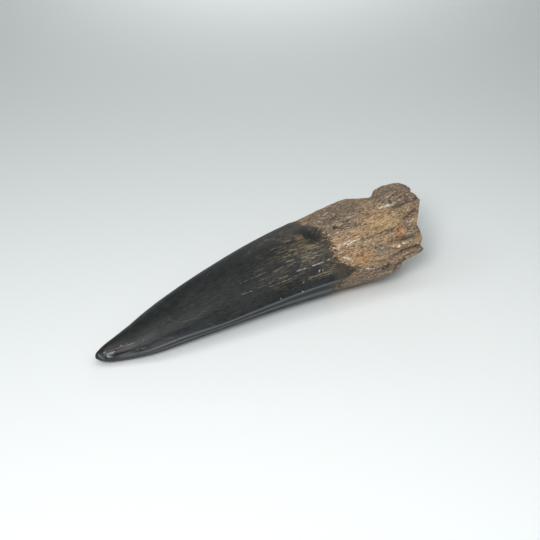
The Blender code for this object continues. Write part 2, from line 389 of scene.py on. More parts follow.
def middleOfSection(along):
    shape = toothShape
    height = shape["tipLift"] * (1 - np.minimum(along / shape["tipLiftLength"], 1)) ** 2
    height += shape["tipRounding"] * (1 - np.minimum(along / shape["tipRoundingLength"], 1)) ** 2
    height += upperThickness(along) - shape["undersideLoss"]
    return np.stack([along, smoothThrough(shape["bow"], along), height], axis=-1)


def sidePoints(along, turn, rim):
    across, upward = np.cos(np.radians(turn)), np.sin(np.radians(turn))
    wide = halfWidth(along)
    thick = np.where(upward > 0, upperThickness(along), lowerThickness(along))
    outward = np.stack([0 * across, thick * across, wide * upward], axis=-1)
    outward /= np.maximum(np.linalg.norm(outward, axis=-1, keepdims=True), 1e-9)
    height, masks = relief(along, turn, rim)
    points = middleOfSection(along) + np.stack([0 * across, wide * across, thick * upward], axis=-1)
    return points + outward * height[:, None], masks


def facePoints(rimPoints, share):
    # the broken face, from the rim at share 1 to its middle at share 0
    shape = toothShape
    bulges, specks = shape["faceLumps"], shape["faceGrit"]
    core = middleOfSection(np.array([shape["faceMiddle"]]))[0]
    points = core + (rimPoints - core) * share[:, None]
    slope = shape["faceSlopeY"] * (points[:, 1] - core[1]) + shape["faceSlopeZ"] * (points[:, 2] - core[2])
    points[:, 0] = shape["faceMiddle"] + slope
    detail = bulges["roughness"], bulges["gap"], bulges["octaves"]
    lumps = np.array([noise.fractal(Vector(p) / bulges["spacing"], *detail) for p in points])
    grit = fractal(points / specks["spacing"], specks["octaves"], specks["seed"])
    points[:, 0] += bulges["height"] * lumps + specks["height"] * grit
    lip = smoothStep(shape["faceLip"], 1.0, share)
    points[:, 0] += (rimPoints[:, 0] - points[:, 0]) * lip
    return points, grit


def buildTooth():
    # a sphere whose poles are the tip and the middle of the broken face, drawn out to the tooth
    shape = toothShape
    crownRings, rootRings, faceRings = shape["crownRings"], shape["rootRings"], shape["faceRings"]
    rings = crownRings + rootRings + faceRings
    bm = bmesh.new()
    bmesh.ops.create_uvsphere(bm, u_segments=shape["columns"], v_segments=rings, radius=1.0)
    ball = np.array([v.co for v in bm.verts])
    ring = np.rint(np.arccos(-np.clip(ball[:, 2], -1, 1)) / math.pi * rings)
    turn = np.degrees(np.arctan2(ball[:, 1], ball[:, 0])) % 360.0

    rim = rimAt(turn)
    crown = shape["rootRingsStart"] * (np.minimum(ring / crownRings, 1)) ** shape["ringGrowth"]
    rootShare = np.clip((ring - crownRings) / rootRings, 0, 1)
    along = crown + (rim - shape["rootRingsStart"]) * rootShare
    points, masks = sidePoints(along, turn, rim)

    onFace = ring > crownRings + rootRings
    share = 1 - (ring[onFace] - crownRings - rootRings) / faceRings
    points[onFace], masks["fibre"][onFace] = facePoints(points[onFace], share)
    masks["broken"] = onFace.astype(float)
    places = unroll(along, turn)
    places[onFace] = points[onFace]

    points -= np.array([shape["length"] / 2, shape["boxMiddleY"], 0.0])
    points[:, 2] = np.maximum(points[:, 2], 0.0)
    for vertex, point in zip(bm.verts, points):
        vertex.co = Vector(point) * mm
    bmesh.ops.recalc_face_normals(bm, faces=bm.faces)
    mesh = bpy.data.meshes.new("fossilTooth")
    bm.to_mesh(mesh)
    bm.free()
    mesh.shade_smooth()

    for name, values in masks.items():
        mesh.attributes.new(name, "FLOAT", "POINT").data.foreach_set("value", values.astype(np.float32))
    unrolled = mesh.attributes.new("unrolled", "FLOAT_VECTOR", "POINT")
    unrolled.data.foreach_set("vector", places.astype(np.float32).ravel())
    piece = bpy.data.objects.new("fossilTooth", mesh)
    bpy.context.scene.collection.objects.link(piece)
    return piece


tooth = buildTooth()
print("tooth built:", len(tooth.data.polygons), "faces")


def feed(tree, socket, value):
    # a node's output is linked, and anything else is set as the socket's own value
    if isinstance(value, bpy.types.NodeSocket):
        tree.links.new(value, socket)
    else:
        socket.default_value = value


def addMath(tree, operation, a, b=0.0, c=0.0, clamp=False):
    node = tree.nodes.new("ShaderNodeMath")
    node.operation = operation
    node.use_clamp = clamp
    for socket, value in zip(node.inputs, (a, b, c)):
        feed(tree, socket, value)
    return node.outputs[0]


def addVectorMath(tree, operation, a, b=None):
    node = tree.nodes.new("ShaderNodeVectorMath")
    node.operation = operation
    feed(tree, node.inputs[0], a)
    if b is not None:
        feed(tree, node.inputs["Scale" if operation == "SCALE" else 1], b)
    return node.outputs["Value" if operation in ("LENGTH", "DOT_PRODUCT") else "Vector"]


def addRange(tree, value, start, end, low=0.0, high=1.0):
    node = tree.nodes.new("ShaderNodeMapRange")
    node.interpolation_type = "SMOOTHSTEP"
    names = ("Value", "From Min", "From Max", "To Min", "To Max")
    for name, given in zip(names, (value, start, end, low, high)):
        feed(tree, node.inputs[name], given)
    return node.outputs["Result"]


def addMix(tree, factor, a, b, blend="MIX"):
    node = tree.nodes.new("ShaderNodeMix")
    node.data_type = "RGBA"
    node.blend_type = blend
    feed(tree, node.inputs[0], factor)
    feed(tree, node.inputs[6], a)
    feed(tree, node.inputs[7], b)
    return node.outputs[2]


def addGroup(tree, group, **values):
    node = tree.nodes.new("ShaderNodeGroup")
    node.node_tree = group
    for name, value in values.items():
        feed(tree, node.inputs[name], value)
    return node.outputs[0]


def readMask(tree, name, output="Fac"):
    node = tree.nodes.new("ShaderNodeAttribute")
    node.attribute_name = name
    return node.outputs[output]


def newGroup(name, inputs, output):
    group = bpy.data.node_groups.new(name, "ShaderNodeTree")
    for label, kind, value in inputs:
        socket = group.interface.new_socket(label, in_out="INPUT", socket_type="NodeSocket" + kind)
        socket.default_value = value
    group.interface.new_socket(output, in_out="OUTPUT", socket_type="NodeSocketFloat")
    entry = group.nodes.new("NodeGroupInput")
    leave = group.nodes.new("NodeGroupOutput")
    return group, entry.outputs, leave.inputs[0]


def makeStretchedNoise():
    # noise drawn out along the tooth, from 0 to 1
    inputs = [
        ("Place", "Vector", (0, 0, 0)),
        ("Length", "Float", 5.0),
        ("Width", "Float", 1.0),
        ("Detail", "Float", 3.0),
        ("Seed", "Float", 0.0),
    ]
    group, given, result = newGroup("Stretched Noise", inputs, "Value")
    size = group.nodes.new("ShaderNodeCombineXYZ")
    feed(group, size.inputs[0], given["Length"])
    feed(group, size.inputs[1], given["Width"])
    feed(group, size.inputs[2], given["Width"])
    scaled = addVectorMath(group, "DIVIDE", given["Place"], size.outputs[0])
    pattern = group.nodes.new("ShaderNodeTexNoise")
    pattern.noise_dimensions = "4D"
    feed(group, pattern.inputs["Vector"], scaled)
    feed(group, pattern.inputs["W"], given["Seed"])
    feed(group, pattern.inputs["Detail"], given["Detail"])
    pattern.inputs["Scale"].default_value = 1.0
    feed(group, result, pattern.outputs["Fac"])
    return group


def makeStreaks(stretchedNoise):
    # separate lengthwise dashes: the higher the cover, the more of them
    inputs = [
        ("Place", "Vector", (0, 0, 0)),
        ("Length", "Float", 5.0),
        ("Width", "Float", 0.5),
        ("Cover", "Float", 0.3),
        ("Softness", "Float", 0.08),
        ("Seed", "Float", 0.0),
    ]
    group, given, result = newGroup("Streaks", inputs, "Mask")
    value = addGroup(
        group,
        stretchedNoise,
        Place=given["Place"],
        Length=given["Length"],
        Width=given["Width"],
        Detail=2.0,
        Seed=given["Seed"],
    )
    start = addMath(group, "SUBTRACT", 0.8, addMath(group, "MULTIPLY", given["Cover"], 0.6))
    mask = addRange(group, value, start, addMath(group, "ADD", start, given["Softness"]))
    feed(group, result, mask)
    return group


def makePatch():
    # a soft-edged oval on the unrolled surface
    inputs = [
        ("Place", "Vector", (0, 0, 0)),
        ("Middle", "Vector", (0, 0, 0)),
        ("Half Size", "Vector", (1, 1, 1)),
        ("Softness", "Float", 0.5),
    ]
    group, given, result = newGroup("Patch", inputs, "Mask")
    offset = addVectorMath(group, "SUBTRACT", given["Place"], given["Middle"])
    reach = addVectorMath(group, "LENGTH", addVectorMath(group, "DIVIDE", offset, given["Half Size"]))
    inner = addMath(group, "SUBTRACT", 1.0, given["Softness"])
    feed(group, result, addRange(group, reach, 1.0, inner))
    return group


def makeStroke():
    # a line of even width between two points of the unrolled surface, fading at its ends
    inputs = [
        ("Place", "Vector", (0, 0, 0)),
        ("Start", "Vector", (0, 0, 0)),
        ("End", "Vector", (1, 0, 0)),
        ("Half Width", "Float", 0.2),
    ]
    group, given, result = newGroup("Stroke", inputs, "Mask")
    run = addVectorMath(group, "SUBTRACT", given["End"], given["Start"])
    offset = addVectorMath(group, "SUBTRACT", given["Place"], given["Start"])
    reached = addVectorMath(group, "DOT_PRODUCT", offset, run)
    reach = addMath(group, "DIVIDE", reached, addVectorMath(group, "DOT_PRODUCT", run, run))
    reach = addMath(group, "MINIMUM", addMath(group, "MAXIMUM", reach, 0.0), 1.0)
    nearest = addVectorMath(group, "SCALE", run, reach)
    gap = addVectorMath(group, "LENGTH", addVectorMath(group, "SUBTRACT", offset, nearest))
    outer = addMath(group, "MULTIPLY", given["Half Width"], 1.5)
    inner = addMath(group, "MULTIPLY", given["Half Width"], 0.5)
    feed(group, result, addRange(group, gap, outer, inner))
    return group


stretchedNoise = makeStretchedNoise()
streaks = makeStreaks(stretchedNoise)
patch = makePatch()
stroke = makeStroke()
print("shader groups made")


# the finish of the tooth; a pair or a four is a range of a mask, then the values it runs between
# a patch is: colour, along, turn, half length, half width, softness, strength
# a stroke is: colour, start along, start turn, end along, end turn, half width, strength
toothFinish = {
    "colours": {
        "black": (0.0085, 0.0090, 0.0090, 1),
        "smoky": (0.027, 0.0285, 0.0285, 1),
        "paintedReflectionBelowKeel": (0.022, 0.027, 0.029, 1),
        "deepShade": (0.010, 0.014, 0.016, 1),
        "paintedCrestHighlight": (0.130, 0.150, 0.155, 1),
        "brown": (0.345, 0.228, 0.132, 1),
        "golden": (0.44, 0.285, 0.140, 1),
        "amber": (0.45, 0.240, 0.105, 1),
        "greyBrown": (0.200, 0.150, 0.112, 1),
        "light": (0.66, 0.49, 0.345, 1),
        "dark": (0.060, 0.040, 0.027, 1),
        "brokenBrown": (0.17, 0.115, 0.072, 1),
        "tan": (0.33, 0.270, 0.180, 1),
        "cream": (0.62, 0.53, 0.42, 1),
        "gold": (0.205, 0.152, 0.083, 1),
        "rust": (0.34, 0.200, 0.135, 1),
        "ash": (0.115, 0.125, 0.125, 1),
        "speck": (0.150, 0.125, 0.095, 1),
        "marginBrown": (0.058, 0.047, 0.035, 1),
        "paleAshAndHighlight": (0.160, 0.160, 0.160, 1),
        "chip": (0.42, 0.42, 0.42, 1),
        "flake": (0.80, 0.74, 0.64, 1),
        "pink": (0.50, 0.33, 0.24, 1),
        "olive": (0.25, 0.19, 0.10, 1),
        "steel": (0.024, 0.031, 0.036, 1),
        "mauve": (0.052, 0.044, 0.046, 1),
        "orange": (0.40, 0.190, 0.085, 1),
        "slate": (0.185, 0.165, 0.135, 1),
        "slateDark": (0.060, 0.056, 0.052, 1),
        "shade": (0.120, 0.088, 0.066, 1),
        "ink": (0.024, 0.020, 0.026, 1),
    },
    # noise drawn out along the tooth: length, width, detail, seed
    "patterns": {
        "smoke": (12.0, 4.0, 4.0, 1.0),
        "hairs": (1.8, 0.4, 3.0, 2.0),
        "stained": (7.0, 2.6, 3.0, 4.0),
        "broad": (8.0, 3.5, 3.0, 5.0),
        "hue": (2.2, 1.2, 3.0, 15.0),
        "streaky": (3.0, 0.8, 3.0, 6.0),
        "coarse": (4.5, 1.8, 2.0, 19.0),
        "worn": (0.9, 0.35, 2.0, 16.0),
        "threads": (1.1, 0.34, 3.0, 10.0),
        "granules": (0.5, 0.38, 2.0, 11.0),
        "grit": (0.32, 0.28, 1.0, 17.0),
        "fray": (0.7, 0.45, 4.0, 8.0),
        "lobes": (3.0, 1.6, 3.0, 9.0),
        "smudge": (6.0, 2.5, 5.0, 12.0),
        "polish": (5.0, 0.6, 3.0, 14.0),
    },
    # how far the drawn marks are pushed about, and over what distance
    "ragged": (2.0, 1.3),
    "wobbly": (0.5, 0.8),
    "slight": (0.2, 2.0),
    "wornAway": (0.34, 0.54),
    # how much of each pattern the grain of the bone has
    "grain": {"threads": 0.45, "granules": 0.35, "grit": 0.2},
    "grainDepth": 0.7,
    "polishDepth": 0.05,
    "ior": 1.38,
    "enamel": {
        "roughness": (0.3, 0.7, 0.42, 0.55),
        "smokeShare": 0.4,
        "smoky": (0.40, 0.62),
        # heights on the even cylinder, in mm from its middle
        # painted reflection of the pale floor: the enamel below the keel is lighter and bluer
        "paintedReflectionBelowKeel": (0.3, -0.6),
        "deepShade": (-4.4, -5.6),
        "upperSide": (0.4, 1.4),
        "dashHeights": (2.2, 4.5),
        "dashReach": (46.0, 64.0),
        "goldStained": (0.40, 0.62, 0.0, 0.08),
        "patchy": (0.38, 0.60),
        "greyDashes": {
            "colour": "ash",
            "length": 1.8,
            "width": 0.20,
            "cover": 0.34,
            "softness": 0.16,
            "seed": 18.0,
            "strength": 0.42,
        },
        "dashes": {
            "colour": "tan",
            "length": 2.4,
            "width": 0.24,
            "cover": 0.40,
            "softness": 0.10,
            "seed": 3.0,
            "strength": 0.70,
        },
        "fineDashes": {
            "colour": "tan",
            "length": 1.4,
            "width": 0.16,
            "cover": 0.42,
            "softness": 0.12,
            "seed": 13.0,
            "strength": 0.50,
        },
        "crestHighlightStrength": 0.9,
        "patches": [
            ("black", 68.3, 100, 2.8, 6.0, 0.8, 0.9),
            ("black", 66.5, 86, 3.0, 3.0, 0.8, 0.6),
            ("gold", 65.2, 97, 1.8, 1.3, 0.9, 0.70),
            ("gold", 65.9, 118, 1.8, 1.6, 0.9, 0.75),
            ("gold", 63.0, 122, 3.4, 2.6, 0.9, 0.12),
            ("gold", 64.5, 108, 4.0, 3.2, 0.9, 0.20),
            ("gold", 62.0, 104, 3.8, 1.6, 0.9, 0.14),
            ("marginBrown", 71.6, 168, 3.0, 3.6, 0.8, 0.85),
            ("marginBrown", 69.6, 183, 2.4, 3.0, 0.9, 0.60),
            ("mauve", 17.0, 163, 5.5, 2.5, 0.7, 0.6),
            ("mauve", 3.8, 108, 2.0, 5.0, 0.7, 0.9),
            ("mauve", 8.0, 140, 3.5, 3.0, 0.8, 0.8),
            ("mauve", 6.4, 112, 4.0, 4.0, 0.8, 0.6),
            ("ash", 7.0, 172, 3.6, 4.0, 0.8, 0.55),
            ("ash", 3.2, 145, 1.6, 6.0, 0.8, 0.60),
            ("steel", 13.0, 132, 4.4, 3.4, 0.7, 0.8),
            ("steel", 26.0, 165, 14.0, 2.4, 0.8, 0.5),
            ("rust", 50.6, 142.5, 0.45, 0.40, 0.7, 0.7),
            ("cream", 65.3, 152.5, 0.35, 0.3, 0.6, 0.7),
            ("cream", 66.6, 153.5, 0.4, 0.35, 0.6, 0.7),
            ("cream", 59.4, 175.3, 0.26, 0.26, 0.5, 1.0),
            ("cream", 52.5, 175.5, 0.2, 0.22, 0.5, 0.7),
            ("cream", 59.7, 160.8, 0.2, 0.2, 0.5, 0.5),
            ("ash", 50.7, 80, 0.8, 0.6, 0.7, 0.6),
            ("ash", 60.0, 78.6, 1.2, 0.5, 0.7, 0.6),
            ("black", 1.7, 100, 0.5, 5.0, 0.7, 0.8),
            ("chip", 2.4, 118, 0.32, 2.0, 0.7, 0.80),
            ("chip", 2.9, 142, 0.30, 2.0, 0.7, 0.85),
            ("chip", 2.7, 158, 0.42, 2.2, 0.7, 1.00),
            ("chip", 3.4, 168, 0.30, 1.4, 0.7, 0.85),
            ("chip", 3.8, 140, 0.26, 1.2, 0.7, 1.00),
            ("chip", 6.4, 122.5, 0.40, 1.0, 0.8, 0.55),
            ("chip", 7.9, 125.0, 0.40, 0.8, 0.8, 0.50),
            ("chip", 9.3, 130.5, 0.30, 0.7, 0.8, 0.45),
            ("chip", 12.6, 135, 0.25, 0.5, 0.7, 0.5),
            ("chip", 12.0, 160, 0.28, 0.5, 0.7, 0.6),
        ],
        "strokes": [
            ("tan", 57.2, 115.6, 59.8, 116.0, 0.13, 0.70),
            ("tan", 48.0, 117.0, 51.0, 118.0, 0.10, 0.35),
            ("tan", 46.0, 124.6, 50.6, 124.4, 0.10, 0.50),
            ("tan", 42.6, 123.0, 45.0, 124.0, 0.10, 0.30),
            ("tan", 57.2, 124.2, 60.0, 123.6, 0.13, 0.75),
            ("tan", 62.0, 123.5, 65.5, 124.0, 0.10, 0.45),
            ("tan", 52.6, 129.6, 56.4, 128.2, 0.10, 0.50),
            ("tan", 57.2, 130.0, 60.0, 128.6, 0.12, 0.65),
            ("tan", 62.0, 126.7, 70.0, 127.0, 0.11, 0.60),
            ("tan", 64.4, 115.4, 68.6, 115.8, 0.12, 0.60),
            ("tan", 65.8, 120.2, 70.0, 120.8, 0.12, 0.60),
            ("tan", 63.0, 118.0, 66.4, 118.2, 0.10, 0.55),
            ("tan", 61.5, 132.0, 70.0, 132.4, 0.10, 0.40),
            ("tan", 47.6, 133.0, 50.0, 133.4, 0.10, 0.35),
            ("tan", 41.6, 141.6, 44.8, 142.4, 0.11, 0.45),
            ("tan", 46.6, 142.6, 49.0, 143.0, 0.10, 0.35),
            ("tan", 53.2, 142.2, 56.0, 143.4, 0.12, 0.60),
            ("cream", 59.0, 141.8, 61.8, 142.6, 0.12, 0.60),
            ("cream", 63.9, 142.6, 67.4, 143.2, 0.13, 0.75),
            ("cream", 67.6, 142.6, 70.4, 142.0, 0.11, 0.65),
            ("rust", 50.0, 148.0, 51.2, 148.6, 0.12, 0.60),
            ("tan", 52.6, 148.6, 57.0, 149.0, 0.11, 0.55),
            ("tan", 57.6, 148.0, 61.0, 147.0, 0.10, 0.40),
            ("gold", 61.6, 103.6, 66.5, 103.0, 0.14, 0.70),
            ("tan", 58.0, 102.2, 60.0, 103.0, 0.11, 0.45),
            ("gold", 58.5, 98.0, 60.5, 98.6, 0.13, 0.60),
            ("tan", 60.8, 94.0, 62.6, 94.4, 0.11, 0.45),
            ("tan", 56.2, 96.0, 58.0, 96.6, 0.11, 0.40),
            ("gold", 62.4, 108.4, 64.8, 108.8, 0.15, 0.75),
            ("gold", 63.2, 112.6, 66.0, 113.2, 0.14, 0.70),
            ("tan", 60.0, 110.2, 62.2, 110.8, 0.11, 0.50),
            ("gold", 65.4, 105.8, 67.4, 106.2, 0.14, 0.70),
            ("gold", 64.6, 98.6, 66.4, 99.4, 0.15, 0.70),
            ("tan", 64.0, 90.6, 66.0, 91.2, 0.12, 0.45),
            ("tan", 57.0, 106.0, 59.2, 106.6, 0.11, 0.45),
            ("ash", 20.6, 121, 22.0, 133, 0.16, 0.22),
            ("ash", 22.0, 133, 23.8, 141, 0.16, 0.26),
            ("ash", 23.8, 141, 27.5, 145, 0.18, 0.30),
            ("ash", 27.5, 145, 30.5, 138, 0.16, 0.22),
            ("ash", 16.5, 153, 19.5, 163, 0.20, 0.30),
            ("ash", 19.5, 163, 22.0, 173, 0.18, 0.25),
            ("ash", 30.0, 166, 31.6, 176, 0.22, 0.25),
            ("ash", 10.1, 156, 10.4, 163, 0.14, 0.55),
            # painted highlight along the rounded edge of the worn tip
            ("paleAshAndHighlight", 0.7, 102, 0.8, 122, 0.26, 0.75),
            ("paleAshAndHighlight", 0.8, 122, 0.95, 142, 0.28, 0.85),
            ("paleAshAndHighlight", 0.95, 142, 1.2, 162, 0.30, 0.90),
            ("paleAshAndHighlight", 1.2, 162, 1.6, 180, 0.30, 0.85),
            ("paleAshAndHighlight", 4.4, 127, 9.6, 131, 0.55, 0.50),
            ("paleAshAndHighlight", 9.0, 181, 13.5, 178, 0.35, 0.55),
            ("black", 3.9, 163, 6.0, 158, 0.40, 0.90),
            ("black", 6.0, 158, 8.8, 153, 0.34, 0.85),
        ],
    },
    "root": {
        "roughness": (0.3, 0.7, 0.72, 0.92),
        "greyBrown": (0.42, 0.70),
        "pink": (0.54, 0.70, 0.0, 0.55),
        "olive": (0.46, 0.30, 0.0, 0.55),
        "golden": (0.50, 0.70, 0.0, 0.4),
        "darkStreaks": (0.46, 0.30, 0.0, 0.4),
        "slits": {
            "colour": "dark",
            "length": 3.4,
            "width": 0.30,
            "cover": 0.36,
            "softness": 0.10,
            "seed": 20.0,
            "strength": 0.5,
        },
        # the grain is coarse in some places and faint in others
        "pits": (0.485, 0.415, 0.0, 0.9),
        "pitsWhereCoarse": (0.38, 0.62, 0.58, 1.0),
        "glints": (0.525, 0.58, 0.0, 0.9),
        "glintsWhereCoarse": (0.60, 0.40, 0.50, 0.90),
        "crystals": (0.51, 0.60),
        "fibreShade": (-0.1, -0.7, 0.0, 0.3),
        "brokenStrength": 0.7,
        "crackStrength": 0.4,
        # where pale crystals show in the bone: along, turn, half length, half width, softness, strength
        "paleFields": [
            (73.8, 130, 2.6, 3.2, 0.9, 1.0),
            (76.2, 131, 2.4, 1.2, 0.9, 1.0),
            (73.2, 138, 2.0, 2.0, 0.9, 1.0),
            (74.2, 148, 1.8, 2.2, 0.9, 1.0),
            (75.0, 156, 1.8, 1.2, 0.9, 0.8),
            (73.0, 112, 1.4, 2.6, 0.9, 0.8),
            (77.5, 143, 3.5, 3.0, 0.9, 0.5),
            (84.0, 122, 8.0, 4.5, 0.9, 0.3),
        ],
        "patches": [
            # the large grey-brown patches over the top and the underside of the root are partly its own
            # grey-brown and partly painted shade where it gets less light
            ("greyBrown", 80.0, 78, 13.0, 6.5, 0.6, 0.85),
            ("greyBrown", 98.5, 80, 9.5, 6.5, 0.5, 0.90),
            ("greyBrown", 81.0, 108, 6.0, 1.8, 0.9, 0.70),
            ("greyBrown", 82.0, 192, 14.0, 5.2, 0.5, 0.85),
            ("greyBrown", 74.0, 200, 6.5, 6.0, 0.6, 0.90),
            ("marginBrown", 71.6, 192, 2.6, 4.5, 0.9, 0.80),
            ("marginBrown", 70.6, 212, 2.6, 4.5, 0.9, 0.80),
            ("golden", 88.0, 118, 8.0, 4.2, 0.8, 1.0),
            ("golden", 79.0, 125, 5.0, 3.0, 0.9, 0.60),
            ("golden", 84.5, 138, 5.0, 3.0, 0.9, 0.50),
            ("golden", 84.0, 166, 5.0, 2.4, 0.9, 0.60),
            ("golden", 97.0, 111, 4.5, 1.4, 0.8, 0.5),
            ("amber", 78.3, 156, 4.4, 3.8, 0.9, 0.80),
            ("amber", 81.9, 153, 2.2, 1.8, 0.9, 0.60),
            ("amber", 77.0, 143, 3.0, 2.4, 0.9, 0.50),
            ("shade", 82.4, 112.5, 2.2, 1.0, 0.8, 0.6),
            ("shade", 78.5, 106.0, 2.4, 1.3, 0.9, 0.5),
            ("shade", 79.0, 90.0, 4.5, 1.6, 0.9, 0.4),
            ("orange", 92.9, 137, 3.0, 2.1, 0.8, 0.85),
            ("orange", 91.6, 143, 1.8, 1.2, 0.8, 0.75),
            ("orange", 98.5, 128, 1.6, 1.0, 0.8, 0.50),
            ("slate", 95.0, 146, 2.6, 2.2, 0.8, 0.75),
            ("shade", 93.4, 150, 2.6, 1.0, 0.8, 0.60),
            ("slate", 84.6, 151, 3.2, 2.2, 0.9, 0.80),
            ("greyBrown", 85.5, 175, 4.0, 1.8, 0.8, 0.60),
            ("marginBrown", 72.5, 168, 3.2, 3.0, 0.8, 0.8),
            ("marginBrown", 76.3, 169, 2.4, 2.2, 0.9, 0.8),
            ("flake", 92.9, 102.0, 1.2, 0.5, 0.9, 0.35),
            ("flake", 90.1, 156.5, 0.7, 0.6, 0.6, 0.95),
            ("flake", 91.5, 154.5, 0.6, 0.5, 0.6, 0.90),
            ("flake", 92.9, 154.0, 0.5, 0.4, 0.6, 0.90),
            ("flake", 97.1, 130.0, 0.7, 0.42, 0.5, 1.0),
            ("flake", 95.7, 129.4, 0.42, 0.36, 0.6, 0.95),
            ("flake", 80.4, 144.6, 0.6, 0.3, 0.6, 0.9),
            ("shade", 88.5, 165, 2.6, 0.9, 0.8, 0.5),
        ],
        "strokes": [
            ("flake", 91.4, 102.6, 94.2, 101.6, 0.15, 0.95),
            ("flake", 91.8, 100.6, 93.8, 104.2, 0.13, 0.90),
            ("flake", 90.8, 101.2, 93.0, 102.6, 0.12, 0.85),
            ("flake", 92.6, 99.6, 93.6, 102.2, 0.12, 0.80),
            ("flake", 93.4, 103.8, 95.4, 102.4, 0.13, 0.85),
            ("flake", 92.0, 104.4, 94.4, 105.0, 0.11, 0.75),
            ("dark", 76.2, 101.3, 77.3, 98.6, 0.22, 0.90),
            ("light", 77.0, 97.7, 79.2, 98.8, 0.26, 0.80),
            ("light", 79.2, 98.8, 81.4, 101.6, 0.22, 0.70),
            ("dark", 77.2, 101.8, 80.4, 102.6, 0.22, 0.65),
            ("light", 80.4, 102.6, 83.6, 104.0, 0.18, 0.50),
            ("dark", 77.2, 88.5, 79.5, 85.5, 0.20, 0.60),
            ("dark", 79.0, 92.5, 83.0, 93.5, 0.18, 0.55),
            ("dark", 76.4, 84.6, 80.6, 86.5, 0.18, 0.60),
            ("dark", 77.6, 108.4, 84.2, 115.6, 0.22, 0.55),
            ("dark", 78.6, 106.4, 83.0, 111.0, 0.18, 0.55),
            ("dark", 80.4, 98.2, 86.0, 99.6, 0.16, 0.55),
            ("light", 81.0, 95.0, 84.6, 96.4, 0.14, 0.55),
            ("light", 77.0, 93.6, 79.0, 95.0, 0.14, 0.50),
            ("dark", 86.0, 107.0, 91.0, 108.0, 0.14, 0.45),
            ("light", 84.6, 110.6, 88.0, 112.0, 0.14, 0.45),
            ("light", 76.3, 118.6, 77.6, 117.2, 0.20, 0.75),
            ("light", 79.0, 116.8, 80.2, 117.6, 0.24, 0.90),
            ("light", 73.6, 129.2, 77.3, 127.6, 0.22, 0.85),
            ("light", 73.0, 125.8, 76.0, 130.0, 0.16, 0.65),
            ("light", 78.6, 130.2, 80.3, 129.5, 0.18, 0.70),
            ("dark", 80.6, 131.0, 85.5, 131.6, 0.10, 0.75),
            ("dark", 85.5, 131.6, 90.0, 131.9, 0.13, 0.85),
            ("light", 85.2, 133.2, 90.0, 135.4, 0.14, 0.60),
            ("dark", 90.3, 131.8, 89.8, 138.0, 0.26, 0.75),
            ("flake", 79.0, 173.0, 81.6, 177.0, 0.17, 0.90),
            ("flake", 76.2, 131.4, 78.6, 129.6, 0.20, 0.80),
            ("flake", 72.8, 133.0, 74.6, 130.0, 0.20, 0.80),
            ("flake", 73.4, 147.0, 75.0, 152.0, 0.17, 0.75),
            ("dark", 88.0, 166.0, 93.4, 161.0, 0.24, 0.70),
            ("dark", 90.4, 172.0, 96.4, 172.0, 0.24, 0.65),
            ("light", 73.8, 146.2, 75.2, 150.4, 0.22, 0.85),
            ("light", 75.2, 150.4, 75.6, 154.6, 0.20, 0.70),
            ("dark", 88.6, 146.8, 92.0, 149.4, 0.22, 0.70),
            ("dark", 92.0, 149.4, 95.6, 150.6, 0.20, 0.70),
            ("dark", 95.0, 126.2, 100.4, 117.2, 0.24, 0.80),
            ("dark", 90.6, 163.6, 96.2, 163.2, 0.34, 0.80),
            ("slateDark", 94.3, 106.4, 97.6, 105.6, 0.34, 0.80),
            ("slateDark", 97.6, 105.6, 104.2, 101.8, 0.30, 0.80),
            ("light", 83.6, 160.0, 85.2, 165.0, 0.14, 0.50),
            ("ink", 90.6, 178.6, 88.6, 190.0, 0.40, 0.70),
            ("ink", 84.9, 183.0, 86.1, 179.6, 0.70, 1.0),
            ("ink", 89.0, 183.0, 91.0, 177.0, 0.70, 1.0),
            ("dark", 91.5, 98.0, 100.0, 86.0, 0.14, 0.60),
            ("dark", 94.5, 101.0, 103.0, 92.0, 0.14, 0.60),
            ("dark", 90.5, 91.0, 97.5, 80.0, 0.14, 0.55),
            ("dark", 96.0, 92.0, 103.5, 83.0, 0.12, 0.50),
            ("light", 92.5, 95.0, 99.5, 84.5, 0.14, 0.45),
            ("light", 96.5, 97.0, 103.0, 89.5, 0.14, 0.45),
            ("light", 89.5, 95.5, 92.5, 91.0, 0.14, 0.45),
        ],
    },
    # the frayed end of the enamel, thinned to brown before it stops, in mm past its even line
    "margin": {
        "shift": -6.3,
        "frayed": 9.0,
        "lobed": 3.5,
        "specks": (-9.0, -1.0),
        "speckGrains": (0.53, 0.60, 0.0, 0.45),
        "thinned": (-3.0, 0.3, 0.0, 0.75),
        "bone": (-0.6, 0.8),
    },
}


def unrolledPoint(along, turn):
    return tuple(float(value) for value in unroll(np.float64(along), np.float64(turn)))


def addPatchAt(tree, place, along, turn, halfLength, halfWidth, softness):
    size = (halfLength, halfWidth, halfWidth)
    given = {"Place": place, "Middle": unrolledPoint(along, turn), "Half Size": size, "Softness": softness}
    return addGroup(tree, patch, **given)


def addPattern(tree, place, name):
    length, width, detail, seed = toothFinish["patterns"][name]
    given = {"Place": place, "Length": length, "Width": width, "Detail": detail, "Seed": seed}
    return addGroup(tree, stretchedNoise, **given)


def addStreaks(tree, place, colour, where, look):
    given = {name.capitalize(): look[name] for name in ("length", "width", "cover", "softness", "seed")}
    mask = addGroup(tree, streaks, Place=place, **given)
    mask = addMath(tree, "MULTIPLY", addMath(tree, "MULTIPLY", mask, where), look["strength"])
    return addMix(tree, mask, colour, toothFinish["colours"][look["colour"]])


def addPatches(tree, ragged, colour, patches):
    for name, *oval, strength in patches:
        mask = addMath(tree, "MULTIPLY", addPatchAt(tree, ragged, *oval), strength)
        colour = addMix(tree, mask, colour, toothFinish["colours"][name])
    return colour


def addStrokes(tree, wobbly, wear, colour, strokes):
    # the strokes are worn away in places
    for name, along0, turn0, along1, turn1, half, strength in strokes:
        ends = {"Start": unrolledPoint(along0, turn0), "End": unrolledPoint(along1, turn1)}
        mask = addGroup(tree, stroke, Place=wobbly, **ends, **{"Half Width": half})
        mask = addMath(tree, "MULTIPLY", addMath(tree, "MULTIPLY", mask, wear), strength)
        colour = addMix(tree, mask, colour, toothFinish["colours"][name])
    return colour


